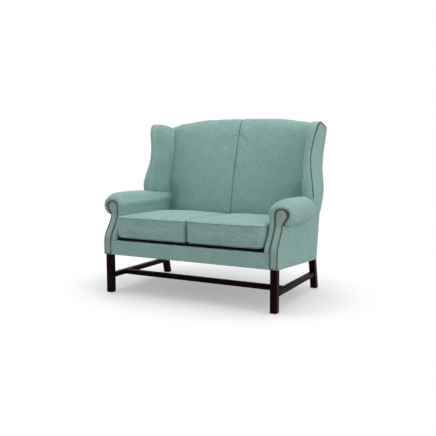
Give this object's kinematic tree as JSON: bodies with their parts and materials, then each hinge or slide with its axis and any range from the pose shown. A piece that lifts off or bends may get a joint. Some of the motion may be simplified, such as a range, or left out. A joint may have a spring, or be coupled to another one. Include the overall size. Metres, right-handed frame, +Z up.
{
  "type": "high back settee",
  "caption": "High back settee with rolled scroll arms, shaped nail-trimmed wings, a crowned back, loose box seat cushions and stretchered square legs.",
  "frame": {"origin": "on the floor, at the middle of the outline seen from above", "axes": "+X to the right as seen from the front, +Y towards the back, +Z up"},
  "size_m": [1.3278, 0.849, 1.1138],
  "materials": {
    "cover_cloth": "fine mottled teal weave, matt",
    "dark_wood": "very dark mahogany stain, satin lacquer",
    "frame_timber": "planed beech, unfinished, inside the upholstery",
    "black_cloth": "black lining cloth",
    "spring_steel": "drawn spring wire and clips",
    "nail_brass": "antique bronzed nail heads",
    "webbing": "woven jute webbing",
    "glide": "moulded nail-on glides"
  },
  "bodies": {
    "frame": {"front_leg_left": "dark_wood", "front_leg_right": "dark_wood", "rear_leg_left": "dark_wood", "rear_leg_right": "dark_wood", "leg_glides": "glide", "side_stretcher_left": "dark_wood", "side_stretcher_right": "dark_wood", "cross_stretcher": "dark_wood", "front_seat_rail": "frame_timber", "rear_seat_rail": "frame_timber", "side_seat_rail_left": "frame_timber", "side_seat_rail_right": "frame_timber", "centre_seat_rail": "frame_timber", "corner_blocks": "frame_timber", "seat_springs_left": "spring_steel", "seat_springs_right": "spring_steel", "spring_clips": "spring_steel", "seat_deck": "black_cloth", "dust_cover": "black_cloth", "front_border": "cover_cloth", "arm_post_left": "frame_timber", "arm_post_right": "frame_timber", "arm_rail_left": "frame_timber", "arm_rail_right": "frame_timber", "arm_tacking_rail_left": "frame_timber", "arm_tacking_rail_right": "frame_timber", "arm_facing_left": "cover_cloth", "arm_facing_right": "cover_cloth", "arm_nails_left": "nail_brass", "arm_nails_right": "nail_brass", "arm_pad_left": "cover_cloth", "arm_pad_right": "cover_cloth", "outside_arm_left": "cover_cloth", "outside_arm_right": "cover_cloth", "back_post_left": "frame_timber", "back_post_right": "frame_timber", "back_top_rail": "frame_timber", "back_tacking_rail": "frame_timber", "back_centre_upright": "frame_timber", "back_webbing": "webbing", "inside_back_left": "cover_cloth", "inside_back_right": "cover_cloth", "outside_back": "cover_cloth", "wing_post_left": "frame_timber", "wing_post_right": "frame_timber", "wing_rail_left": "frame_timber", "wing_rail_right": "frame_timber", "wing_pad_left": "cover_cloth", "wing_pad_right": "cover_cloth", "outside_wing_left": "cover_cloth", "outside_wing_right": "cover_cloth", "wing_nails_left": "nail_brass", "wing_nails_right": "nail_brass"},
    "cushion_left": {"seat_cushion_left": "cover_cloth"},
    "cushion_right": {"seat_cushion_right": "cover_cloth"}
  },
  "joints": [
    {"name": "cushion_left_lift", "type": "slide", "parent": "frame", "child": "cushion_left", "axis": [0, 0, 1], "range_m": [0, 0.35]},
    {"name": "cushion_right_lift", "type": "slide", "parent": "frame", "child": "cushion_right", "axis": [0, 0, 1], "range_m": [0, 0.35]}
  ]
}
